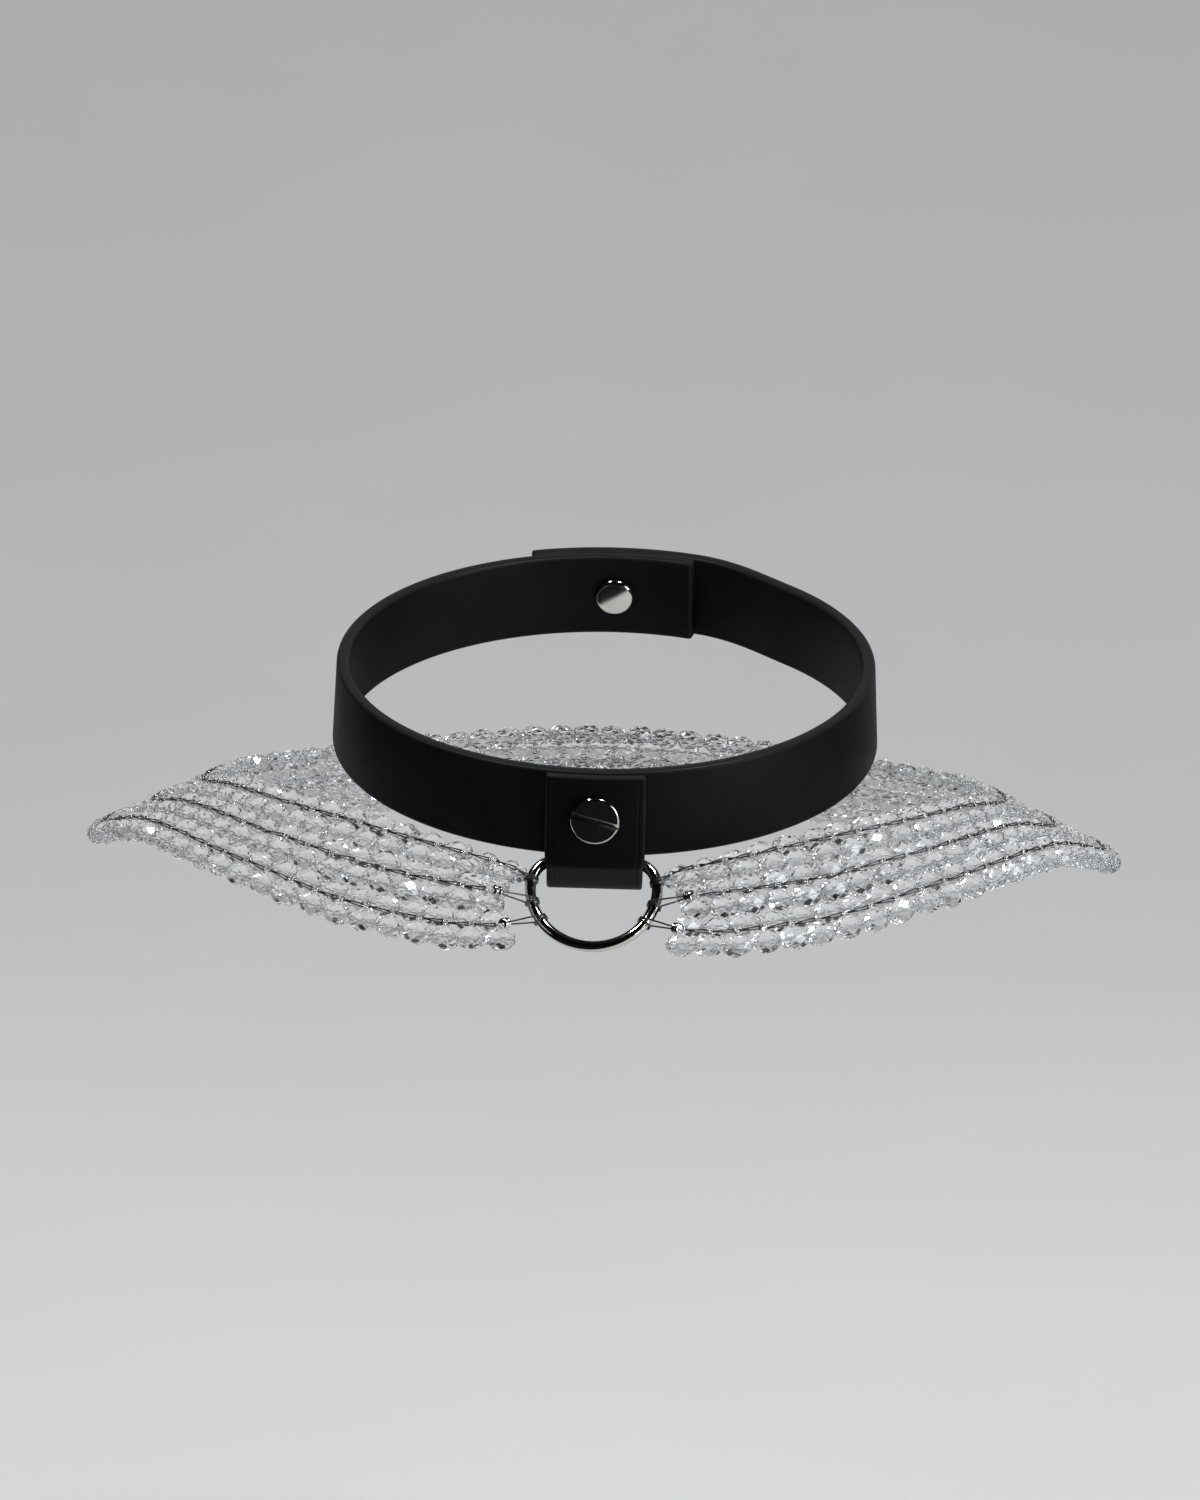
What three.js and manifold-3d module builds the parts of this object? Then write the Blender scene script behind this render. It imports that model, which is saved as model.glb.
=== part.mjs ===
// A leather choker whose front ring carries three long strands of clear crystal beads.
// Millimetres, +Z up, the wearer faces -Y, in the attitude in which it is worn.
// The origin is the middle of the hollow that the strap makes round the neck.
import * as THREE from "three";
import { mergeVertices } from "three/addons/utils/BufferGeometryUtils.js";
import Module from "manifold-3d";

const wasm = await Module();
wasm.setup();

const { degToRad, smoothstep } = THREE.MathUtils;

// ---- Driving dimensions ----

const GAP = 0.3; // left between pieces that touch
const LEAN = degToRad(14); // the neck, and the strap with it, leans forward
const FLARE = degToRad(3); // the strap is a little wider at its lower edge

// The strap is one strip whose ends lap over each other behind the neck.
const STRAP = {
  radius: 60.1, // to the middle of its thickness
  height: 20,
  thickness: 3,
  bevel: 0.6,
  lap: degToRad(36), // where the ends lie over each other
  rise: degToRad(25), // over which the outer end climbs on to the inner one
};

// The tab is a strip folded round the ring's bar, with one leg each side of the strap.
const TAB = {
  width: 21,
  thickness: 2,
  ease: 0.45, // between a leg and the strap
  top: 9.7,
  backTop: 8,
  foldCentre: -14,
  bendFrom: -9, // above this height the legs follow the strap's curve
  bendTo: -13, // below this one the fold is straight, as the bar is
};

// The ring is a D: a straight bar, two rounded shoulders and a half-round bow.
const RING = {
  wire: 1.25,
  bow: 13.95,
  halfBar: 9,
  shoulder: 6.05,
  barHeight: -12, // below the strap's middle
  lean: degToRad(35), // its bow lies forward, on the chest
};

const SCREW = { head: 5.45, headThickness: 1.5, shank: 1.5, turn: degToRad(15) };
const SLOT = { width: 1.2, depth: 0.7 };
const POST = { flange: 4.5, flangeThickness: 1, barrel: 2.3, bore: 1.8, ease: 0.5 };
const POST_HOLE = 2.6;
const STUD = { disc: 4.5, discThickness: 1.2, shank: 2, hole: 2.4, ease: 0.5 };

// Each strand is a fine chain with a row of beads along each side of it.
const BEAD = { radius: 2.45, neck: 1, pitch: 6.3, sides: 5 };
const ROW_SPACING = 5.2;
const CHAIN = { radius: 0.6, sides: 8, steps: 64, above: 2.2, settled: 28 };
const LOOP = { wire: 0.25, ease: 0.5, tip: 0.35, segments: 16, sides: 5 };
const CRIMP = { radius: 1.4, length: 2.2 };

// The strands lie side by side on a collar round the base of the neck.
// Each row is a section: its azimuth from the front, the middle strand's distance out and height,
// the slope of the collar there and the space between strands. The inner strand lies flatter,
// and lower, under the strap's edge.
const COLLAR = [
  { azimuth: 12, out: 65.2, up: -33.9, slope: 28.3, space: 10.3, innerSlope: 0, sink: 3.0 },
  { azimuth: 25, out: 69.4, up: -31.8, slope: 40, space: 10.5, innerSlope: 4, sink: 2.7 },
  { azimuth: 40, out: 75.4, up: -29.3, slope: 39.5, space: 10.5, innerSlope: 25, sink: 1.2 },
  { azimuth: 55, out: 83.9, up: -25.7, slope: 27.5, space: 10.3, innerSlope: 27.5, sink: 0.0 },
  { azimuth: 75, out: 94.7, up: -23.6, slope: 20, space: 10.6, innerSlope: 20, sink: 0.0 },
  { azimuth: 90, out: 102.0, up: -28.3, slope: 25, space: 12.6, innerSlope: 25, sink: 0.0 },
  { azimuth: 105, out: 100.2, up: -29.9, slope: 28, space: 12.5, innerSlope: 28, sink: 0.0 },
  { azimuth: 125, out: 90.5, up: -32.5, slope: 37, space: 12.0, innerSlope: 37, sink: 0.0 },
  { azimuth: 150, out: 79.5, up: -31.5, slope: 43, space: 10.8, innerSlope: 43, sink: 0.0 },
  { azimuth: 180, out: 74.5, up: -30.5, slope: 46, space: 10.4, innerSlope: 46, sink: 0.0 },
];

// Where each strand joins the ring, down the bow from its widest point, and where its chain starts.
// A crimped chain starts higher by its rise, over the first beads, and settles between the rows.
const STRANDS = [
  { name: 1, place: -1, onBow: -8, from: 18, rise: 0, reach: 3.6, crimped: false },
  { name: 2, place: 0, onBow: 14, from: 18.6, rise: 2, reach: 20, crimped: true },
  { name: 3, place: 1, onBow: 33, from: 14.6, rise: 2, reach: 20, crimped: true },
];

// The rows of beads from the neck outwards, with the azimuth at which each begins.
const ROWS = [
  { strand: 0, side: -1, from: 16.2 },
  { strand: 0, side: 1, from: 17.2 },
  { strand: 1, side: -1, from: 16.4 },
  { strand: 1, side: 1, from: 15.2 },
  { strand: 2, side: -1, from: 14.2 },
  { strand: 2, side: 1, from: 12.3 },
];

// ---- Materials ----

const FINISH = {
  leather: { color: 0x17181b, roughness: 0.55, metalness: 0 },
  nickel: { color: 0xc9c7c2, roughness: 0.2, metalness: 1 },
  silver: { color: 0xd8d8d6, roughness: 0.3, metalness: 1 },
  gunmetal: { color: 0x4a4a4c, roughness: 0.4, metalness: 1 },
  crystal: { color: 0xe8edef, roughness: 0.05, metalness: 0 },
};

function piece(name, geometry, finish) {
  const mesh = new THREE.Mesh(geometry, new THREE.MeshStandardMaterial(FINISH[finish]));
  mesh.name = name;
  return mesh;
}

// ---- Solids: joins and cuts ----

function solidOf(geometry) {
  const bare = geometry.clone();
  bare.deleteAttribute("normal");
  bare.deleteAttribute("uv");
  const merged = mergeVertices(bare, 1e-4);
  return new wasm.Manifold(
    new wasm.Mesh({
      numProp: 3,
      vertProperties: merged.attributes.position.array,
      triVerts: new Uint32Array(merged.index.array),
    }),
  );
}

function geometryOf(solid) {
  const mesh = solid.getMesh();
  const geometry = new THREE.BufferGeometry();
  geometry.setAttribute("position", new THREE.BufferAttribute(mesh.vertProperties, 3));
  geometry.setIndex(new THREE.BufferAttribute(mesh.triVerts, 1));
  return geometry;
}

// A round drill along Y.
function drill(radius, length) {
  const sides = 20;
  return new THREE.CylinderGeometry(radius, radius, length, sides);
}

// A turned piece whose axis is Y, from a half profile of [radius, y] pairs.
function turned(profile, segments) {
  const points = profile.map(([radius, y]) => new THREE.Vector2(radius, y));
  return new THREE.LatheGeometry(points, segments);
}

// ---- Strap ----

// The middle of the strip: a circle whose last stretch climbs by one thickness and a gap.
class StrapRoute extends THREE.Curve {
  getPoint(t, target = new THREE.Vector3()) {
    const end = Math.PI + STRAP.lap / 2;
    const angle = THREE.MathUtils.lerp(-end, end, t);
    const lapStart = Math.PI - STRAP.lap / 2;
    const climb = smoothstep(angle, lapStart - STRAP.rise, lapStart);
    const radius = STRAP.radius + (STRAP.thickness + GAP) * climb;
    return target.set(radius * Math.sin(angle), -radius * Math.cos(angle), 0);
  }
}

// The strip's section: x runs down the strap and y towards the neck, with bevelled corners.
function strapSection() {
  const [h, t, b] = [STRAP.height / 2, STRAP.thickness / 2, STRAP.bevel];
  const corners = [
    [-h, -t + b], [-h + b, -t], [h - b, -t], [h, -t + b],
    [h, t - b], [h - b, t], [-h + b, t], [-h, t - b],
  ];
  const centre = new THREE.Vector2();
  return new THREE.Shape(
    corners.map(([x, y]) => new THREE.Vector2(x, y).rotateAround(centre, -FLARE)),
  );
}

function strapGeometry() {
  const steps = 64;
  const strip = new THREE.ExtrudeGeometry(strapSection(), {
    steps,
    extrudePath: new StrapRoute(),
  });
  const length = 6 * STRAP.thickness;
  const frontHole = drill(POST_HOLE, length).rotateX(-FLARE).translate(0, -STRAP.radius, 0);
  const backHole = drill(STUD.hole, length).rotateX(FLARE).translate(0, STRAP.radius, 0);
  return geometryOf(solidOf(strip).subtract(solidOf(frontHole)).subtract(solidOf(backHole)));
}

// One stud holds the lapped ends: two discs on a shank, about the inner end's middle.
function studGeometry() {
  const inner = -STRAP.thickness / 2 - STUD.ease;
  const outer = 1.5 * STRAP.thickness + GAP + STUD.ease;
  return turned(
    [
      [0, inner - STUD.discThickness],
      [STUD.disc, inner - STUD.discThickness],
      [STUD.disc, inner],
      [STUD.shank, inner],
      [STUD.shank, outer],
      [STUD.disc, outer],
      [STUD.disc, outer + STUD.discThickness],
      [0, outer + STUD.discThickness],
    ],
    20,
  );
}

// ---- Tab, ring and screw, about the middle of the strap's front ----

const tabInner = STRAP.thickness / 2 + TAB.ease; // from the strap's middle to a leg's inner face
const tabOuter = tabInner + TAB.thickness;

// The folded strip seen from its end: x is towards the neck and y is up.
function tabOutline() {
  const heights = [TAB.top, TAB.bendFrom, -11, TAB.bendTo];
  const down = (x) => heights.map((y) => new THREE.Vector2(x, y));
  const up = (x) =>
    down(x)
      .reverse()
      .map((p) => p.setY(Math.min(p.y, TAB.backTop)));
  const outline = new THREE.Shape();
  outline.setFromPoints(down(-tabOuter));
  outline.absarc(0, TAB.foldCentre, tabOuter, Math.PI, 2 * Math.PI, false);
  up(tabOuter).forEach((p) => outline.lineTo(p.x, p.y));
  up(tabInner)
    .reverse()
    .forEach((p) => outline.lineTo(p.x, p.y));
  outline.absarc(0, TAB.foldCentre, tabInner, 2 * Math.PI, Math.PI, true);
  down(-tabInner)
    .reverse()
    .forEach((p) => outline.lineTo(p.x, p.y));
  return outline;
}

// Bends the legs round the strap, and leaves the fold straight.
function bendToStrap(geometry) {
  const position = geometry.attributes.position;
  for (let i = 0; i < position.count; i++) {
    const x = position.getX(i);
    const sag = STRAP.radius - Math.sqrt(STRAP.radius ** 2 - x ** 2);
    const share = smoothstep(position.getZ(i), TAB.bendTo, TAB.bendFrom);
    position.setY(i, position.getY(i) + sag * share);
  }
  return geometry;
}

function tabGeometry() {
  const strip = new THREE.ExtrudeGeometry(tabOutline(), {
    depth: TAB.width,
    steps: 6,
    curveSegments: 8,
    bevelEnabled: false,
  });
  const axes = new THREE.Matrix4().makeBasis(
    new THREE.Vector3(0, 1, 0),
    new THREE.Vector3(0, 0, 1),
    new THREE.Vector3(1, 0, 0),
  );
  strip.applyMatrix4(axes).translate(-TAB.width / 2, 0, 0);
  const hole = drill(POST_HOLE, 3 * tabOuter);
  return geometryOf(solidOf(bendToStrap(strip)).subtract(solidOf(hole)));
}

// The D in its own plane: x across, y up, with the bar's middle at the origin.
function ringOutline() {
  const shoulderWidth = RING.bow - RING.halfBar;
  const d = new THREE.Path();
  d.moveTo(-RING.halfBar, 0);
  d.lineTo(RING.halfBar, 0);
  d.absellipse(RING.halfBar, -RING.shoulder, shoulderWidth, RING.shoulder, Math.PI / 2, 0, true);
  d.absarc(0, -RING.shoulder, RING.bow, 0, Math.PI, true);
  d.absellipse(-RING.halfBar, -RING.shoulder, shoulderWidth, RING.shoulder, Math.PI, Math.PI / 2, true);
  return d;
}

function ringGeometry() {
  const segments = 46;
  const points = ringOutline()
    .getSpacedPoints(segments)
    .slice(0, segments)
    .map((p) => new THREE.Vector3(p.x, 0, p.y));
  const route = new THREE.CatmullRomCurve3(points, true);
  return new THREE.TubeGeometry(route, segments, RING.wire, 8, true);
}

// The screw: a low slotted head outside the tab and a shank in the post's bore.
function screwGeometry() {
  const seat = -tabOuter - GAP;
  const top = seat - SCREW.headThickness;
  const edge = 0.35;
  const body = turned(
    [
      [0, top],
      [SCREW.head - edge, top],
      [SCREW.head, top + edge],
      [SCREW.head, seat],
      [SCREW.shank, seat],
      [SCREW.shank, 2],
      [0, 2],
    ],
    28,
  );
  const slot = new THREE.BoxGeometry(3 * SCREW.head, 2 * SLOT.depth, SLOT.width);
  slot.rotateY(SCREW.turn).translate(0, top, 0);
  return geometryOf(solidOf(body).subtract(solidOf(slot)));
}

// The post: a flange behind the tab and a barrel through both legs and the strap.
function postGeometry() {
  const seat = tabOuter + POST.ease;
  const mouth = -tabOuter + GAP;
  const bottom = 2.5;
  return turned(
    [
      [0, bottom],
      [POST.bore, bottom],
      [POST.bore, mouth],
      [POST.barrel, mouth],
      [POST.barrel, seat],
      [POST.flange, seat],
      [POST.flange, seat + POST.flangeThickness],
      [0, seat + POST.flangeThickness],
    ],
    20,
  );
}

// ---- Collar of strands ----

// Smooth values of every column of the table at an azimuth in degrees.
const COLUMNS = ["out", "up", "slope", "space", "innerSlope", "sink"];
const collarTable = new THREE.CubicInterpolant(
  COLLAR.map((row) => row.azimuth),
  COLLAR.flatMap((row) => COLUMNS.map((column) => row[column])),
  COLUMNS.length,
);
collarTable.settings = {
  endingStart: THREE.ZeroCurvatureEnding,
  endingEnd: THREE.ZeroSlopeEnding,
};

// The bed of one strand at an azimuth from -180 to 180 degrees: its middle, and the directions
// across it (outwards and down) and away from the body.
function bed(strand, azimuth) {
  const [out, up, slope, space, innerSlope, sink] = collarTable.evaluate(Math.abs(azimuth));
  const inner = strand.place < 0;
  const across = strand.place * space;
  const tilt = degToRad(slope);
  const own = degToRad(inner ? innerSlope : slope);
  const turn = degToRad(azimuth);
  const outward = new THREE.Vector3(Math.sin(turn), -Math.cos(turn), 0);
  const place = (radial, height) =>
    outward.clone().multiplyScalar(radial).setZ(height);
  return {
    middle: place(out + across * Math.cos(tilt), up - across * Math.sin(tilt) - (inner ? sink : 0)),
    across: place(Math.cos(own), -Math.sin(own)),
    away: place(Math.sin(own), Math.cos(own)),
  };
}

// Azimuths all the way round the back, from one side of the ring to the other.
function azimuths(from, step) {
  const count = Math.ceil((360 - 2 * from) / step);
  const all = [];
  for (let i = 0; i <= count; i++) {
    const turn = from + ((360 - 2 * from) * i) / count;
    all.push(turn > 180 ? turn - 360 : turn);
  }
  return all;
}

function chainPoint(strand, azimuth) {
  const at = bed(strand, azimuth);
  const settled = smoothstep(Math.abs(azimuth), strand.from, CHAIN.settled);
  return at.middle.addScaledVector(at.away, CHAIN.above + strand.rise * (1 - settled));
}

// A closed solid through rings of points, each ring with the same number of points.
function loft(rings) {
  const sides = rings[0].length;
  const points = rings.flat();
  const index = [];
  for (let r = 0; r + 1 < rings.length; r++) {
    for (let s = 0; s < sides; s++) {
      const [a, b] = [r * sides + s, r * sides + ((s + 1) % sides)];
      index.push(a, a + sides, b, b, a + sides, b + sides);
    }
  }
  const last = (rings.length - 1) * sides;
  for (let s = 1; s + 1 < sides; s++) {
    index.push(0, s, s + 1);
    index.push(last, last + s + 1, last + s);
  }
  return new THREE.BufferGeometry().setFromPoints(points).setIndex(index);
}

// A row of beads joined on their thread: wide and narrow sections in turn.
function rowGeometry(row) {
  const strand = STRANDS[row.strand];
  const offset = (row.side * ROW_SPACING) / 2;
  const route = new THREE.CatmullRomCurve3(
    azimuths(row.from, 4).map((azimuth) => {
      const at = bed(strand, azimuth);
      return at.middle.addScaledVector(at.across, offset);
    }),
  );
  const sections = 2 * Math.round(route.getLength() / BEAD.pitch);
  const rings = route.getSpacedPoints(sections).map((centre, i) => {
    const azimuth = THREE.MathUtils.radToDeg(Math.atan2(centre.x, -centre.y));
    const at = bed(strand, azimuth);
    const radius = i % 2 ? BEAD.radius : BEAD.neck;
    return Array.from({ length: BEAD.sides }, (_, s) => {
      const angle = (2 * Math.PI * s) / BEAD.sides;
      return centre
        .clone()
        .addScaledVector(at.across, radius * Math.cos(angle))
        .addScaledVector(at.away, radius * Math.sin(angle));
    });
  });
  return loft(rings);
}

// ---- Where the strands join the ring ----

// The ring's bow in the worn frame: its centre, and the direction down its plane.
const barMiddle = new THREE.Vector3(0, 0, RING.barHeight)
  .applyEuler(new THREE.Euler(-FLARE, 0, 0))
  .add(new THREE.Vector3(0, -STRAP.radius, 0))
  .applyEuler(new THREE.Euler(LEAN, 0, 0));
const downBow = new THREE.Vector3(0, -Math.sin(RING.lean), -Math.cos(RING.lean));
const bowCentre = barMiddle.clone().addScaledVector(downBow, RING.shoulder);

// The point of the wire where a strand joins it on one side, and the wire's direction there.
function joint(strand, side) {
  const angle = degToRad(strand.onBow);
  const sideways = new THREE.Vector3(side, 0, 0);
  return {
    point: bowCentre
      .clone()
      .addScaledVector(sideways, RING.bow * Math.cos(angle))
      .addScaledVector(downBow, RING.bow * Math.sin(angle)),
    along: downBow
      .clone()
      .multiplyScalar(Math.cos(angle))
      .addScaledVector(sideways, -Math.sin(angle)),
  };
}

// The vector from the ring to the end of the wire loop, on its way to the chain's first point.
function loopRun(strand, side) {
  const run = chainPoint(strand, side * strand.from).sub(joint(strand, side).point);
  return run.clampLength(0, strand.reach);
}

function chainGeometry(strand) {
  const start = (side) => {
    const run = loopRun(strand, side);
    return joint(strand, side).point.add(run.setLength(run.length() + GAP));
  };
  const lead = !strand.crimped; // its first links lead from the ring to the beads
  const route = new THREE.CatmullRomCurve3([
    ...(lead ? [start(1)] : []),
    ...azimuths(strand.from, 6).map((azimuth) => chainPoint(strand, azimuth)),
    ...(lead ? [start(-1)] : []),
  ]);
  const section = new THREE.Shape();
  for (let s = 0; s < CHAIN.sides; s++) {
    const angle = (2 * Math.PI * s) / CHAIN.sides;
    const [x, y] = [CHAIN.radius * Math.cos(angle), CHAIN.radius * Math.sin(angle)];
    if (s) section.lineTo(x, y);
    else section.moveTo(x, y);
  }
  return new THREE.ExtrudeGeometry(section, { steps: CHAIN.steps, extrudePath: route });
}

// A drop-shaped loop of wire round the ring, with a crimp at its point where the strand has one.
function loopGeometry(strand, side) {
  const { point, along } = joint(strand, side);
  const run = loopRun(strand, side);
  const crimpRoom = CRIMP.length / 2 + CHAIN.radius + GAP;
  run.setLength(run.length() - (strand.crimped ? crimpRoom : LOOP.tip + LOOP.wire));
  const slide = run.dot(along);
  const straight = run.clone().addScaledVector(along, -slide);
  const length = straight.length();
  const forward = straight.clone().normalize();
  const sideways = new THREE.Vector3().crossVectors(along, forward);
  const round = RING.wire + LOOP.ease + LOOP.wire;
  const tangent = Math.acos((round - LOOP.tip) / length);
  const drop = new THREE.Path();
  drop.absarc(0, 0, round, tangent, 2 * Math.PI - tangent, false);
  drop.absarc(length, 0, LOOP.tip, -tangent, tangent, false);
  drop.closePath();
  const points = drop
    .getSpacedPoints(LOOP.segments)
    .slice(0, LOOP.segments)
    .map((p) =>
      point
        .clone()
        .addScaledVector(forward, p.x)
        .addScaledVector(sideways, p.y)
        .addScaledVector(along, slide * THREE.MathUtils.clamp(p.x / length, 0, 1)),
    );
  const route = new THREE.CatmullRomCurve3(points, true);
  const wire = new THREE.TubeGeometry(route, LOOP.segments, LOOP.wire, LOOP.sides, true);
  if (!strand.crimped) return wire;
  const barrel = new THREE.CylinderGeometry(CRIMP.radius, CRIMP.radius, CRIMP.length, 10);
  const turn = new THREE.Quaternion().setFromUnitVectors(
    new THREE.Vector3(0, 1, 0),
    run.clone().normalize(),
  );
  const centre = point.clone().add(run);
  barrel.applyQuaternion(turn).translate(centre.x, centre.y, centre.z);
  return geometryOf(solidOf(wire).add(solidOf(barrel)));
}

// ---- Assembly ----

const choker = new THREE.Group();

// The strap, the tab and their screws lean with the neck.
const neckline = new THREE.Group();
neckline.rotation.x = LEAN;
choker.add(neckline);

// The front and back groups sit on the strap's middle there, and tilt with its flare.
const front = new THREE.Group();
front.position.y = -STRAP.radius;
front.rotation.x = -FLARE;
const back = new THREE.Group();
back.position.y = STRAP.radius;
back.rotation.x = FLARE;
neckline.add(piece("strap", strapGeometry(), "leather"), front, back);

front.add(
  piece("tab", tabGeometry(), "leather"),
  piece("screw", screwGeometry(), "nickel"),
  piece("screw_post", postGeometry(), "nickel"),
);
back.add(piece("closing_stud", studGeometry(), "nickel"));

const ring = piece("d_ring", ringGeometry(), "nickel");
ring.position.copy(barMiddle);
ring.rotation.x = -RING.lean;
choker.add(ring);

for (const strand of STRANDS) {
  choker.add(piece(`chain_${strand.name}`, chainGeometry(strand), "gunmetal"));
  choker.add(piece(`wire_loop_${strand.name}_left`, loopGeometry(strand, -1), "silver"));
  choker.add(piece(`wire_loop_${strand.name}_right`, loopGeometry(strand, 1), "silver"));
}
ROWS.forEach((row, i) => {
  choker.add(piece(`crystal_row_${i + 1}`, rowGeometry(row), "crystal"));
});

export default choker;
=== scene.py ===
# %% [markdown]
# # A leather choker with strands of crystal beads
#
# The choker is a strip of black bridle leather that closes behind the neck. A folded tab at its
# front holds a nickel D-ring, and three strands of clear beads and fine chain run from that ring
# over the shoulders and round behind.
#
# The frame of plain solids is loaded first. It says where everything is, in metres, with +Z up
# and the wearer facing -Y. Each piece below is then modelled in more detail in the same place.

# %% Load the frame
import math
import random

import bmesh
import bpy
import numpy as np
from mathutils import Matrix, Quaternion, Vector


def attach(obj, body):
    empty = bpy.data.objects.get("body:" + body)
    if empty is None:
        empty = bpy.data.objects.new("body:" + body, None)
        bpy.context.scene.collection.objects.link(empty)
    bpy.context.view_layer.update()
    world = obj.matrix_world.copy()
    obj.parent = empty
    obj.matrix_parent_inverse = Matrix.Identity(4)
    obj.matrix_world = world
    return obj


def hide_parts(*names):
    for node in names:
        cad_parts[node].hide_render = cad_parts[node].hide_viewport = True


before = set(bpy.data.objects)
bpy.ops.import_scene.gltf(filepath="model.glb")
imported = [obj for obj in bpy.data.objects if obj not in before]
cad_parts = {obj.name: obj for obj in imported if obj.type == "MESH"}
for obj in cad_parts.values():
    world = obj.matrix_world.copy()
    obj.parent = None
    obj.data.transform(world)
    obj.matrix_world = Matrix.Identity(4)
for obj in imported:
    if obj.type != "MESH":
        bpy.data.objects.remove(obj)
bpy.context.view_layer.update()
MM = 0.001

# %% [markdown]
# ## The camera
#
# A camera far away with a long lens shows a small object with little distortion. It could be
# placed by eye, but here its direction is known: a little above the choker, just to one side of
# its middle, and tipped by about a degree. So it is placed by angles round the point that it
# looks at.

# %% Place the camera
# metres and degrees, and the lens in millimetres
VIEW = {"distance": 1.5, "up": 11.0, "aside": 1.6, "tip": 1.3, "lens": 158}
AIM = Vector((-0.001, 0, -0.012))


def round_the_choker(aside, up, distance):
    """A place at these angles, in degrees, and this distance from the point looked at."""
    flat = distance * math.cos(math.radians(up))
    across, forward = math.sin(math.radians(aside)), math.cos(math.radians(aside))
    return AIM + Vector((flat * across, -flat * forward, distance * math.sin(math.radians(up))))


bpy.ops.object.select_all(action="DESELECT")
bpy.ops.object.camera_add(location=round_the_choker(VIEW["aside"], VIEW["up"], VIEW["distance"]))
camera = bpy.context.object
looking = (AIM - camera.location).to_track_quat("-Z", "Y")
tipped = Quaternion((0, 0, 1), math.radians(VIEW["tip"]))
camera.rotation_euler = (looking @ tipped).to_euler()
camera.data.lens = VIEW["lens"]
camera.data.sensor_width = 36
camera.data.clip_start = 0.05
bpy.context.scene.camera = camera
print("camera at", [round(x, 3) for x in camera.location])

# %% [markdown]
# ## The studio
#
# Polished metal and cut glass show the room round them, so the room matters as much as their own
# material. Two small bright softboxes hang high on the left and on the right, which draw bright
# arcs in the ring and give each facet a chance to flash. A wide dim one stands low on the right
# and lays a soft cool sheen on the leather. The room itself is an even grey, which is what the
# clear beads gather and bend. Light goes through many beads and bounces many times in each, so
# the paths are allowed to be long, or the glass would turn black inside.

# %% Set the lights
LAMP_DISTANCE = 1.5
scene = bpy.context.scene
scene.view_settings.view_transform = "Standard"
room = bpy.data.worlds.new("dim_room")
room.use_nodes = True
room.node_tree.nodes["Background"].inputs["Color"].default_value = (0.50, 0.505, 0.51, 1)
room.node_tree.nodes["Background"].inputs["Strength"].default_value = 1.0
scene.world = room
scene.cycles.max_bounces = 20
scene.cycles.glossy_bounces = 12
scene.cycles.transmission_bounces = 20


def softbox(name, aside, up, size, power, colour):
    """A square lamp that faces the choker."""
    bpy.ops.object.light_add(type="AREA", location=round_the_choker(aside, up, LAMP_DISTANCE))
    lamp = bpy.context.object
    lamp.name = name
    lamp.rotation_euler = (AIM - lamp.location).to_track_quat("-Z", "Y").to_euler()
    lamp.data.shape = "SQUARE"
    lamp.data.size = size
    lamp.data.energy = power
    lamp.data.color = colour


softbox("softbox_right", 62, 66, 0.24, 11, (0.97, 0.98, 1.0))
softbox("softbox_left", -62, 66, 0.22, 9, (1.0, 0.99, 0.97))
softbox("softbox_low", 57, 4, 0.7, 10.5, (0.88, 0.94, 1.0))
print("lights", [light.name for light in bpy.data.lights])

# %% [markdown]
# ## Materials from nodes
#
# A node material is a graph, and writing each link by hand is long. The small class below wraps
# one output of a node, and its operators add Math nodes, so a mask can be written as an
# expression. Every other node comes from one method of the paint class.


# %% A short way to write node graphs
class Value:
    """An output of a node in a paint. Arithmetic on it adds Math nodes."""

    def __init__(self, paint, socket):
        self.paint = paint
        self.socket = socket

    def maths(self, operation, *values):
        return self.paint.node("Math", {"operation": operation}, dict(enumerate(values)))

    def __add__(self, other):
        return self.maths("ADD", self, other)

    def __mul__(self, other):
        return self.maths("MULTIPLY", self, other)

    def __sub__(self, other):
        return self.maths("SUBTRACT", self, other)

    def __rsub__(self, other):
        return self.maths("SUBTRACT", other, self)

    __radd__ = __add__
    __rmul__ = __mul__

    def size(self):
        return self.maths("ABSOLUTE", self)

    def least(self, other):
        return self.maths("MINIMUM", self, other)

    def between(self, low, high):
        """0 up to low, 1 from high, and a smooth step between."""
        settings = {"interpolation_type": "SMOOTHSTEP"}
        return self.paint.node(
            "MapRange", settings, {"Value": self, "From Min": low, "From Max": high}
        )


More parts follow.
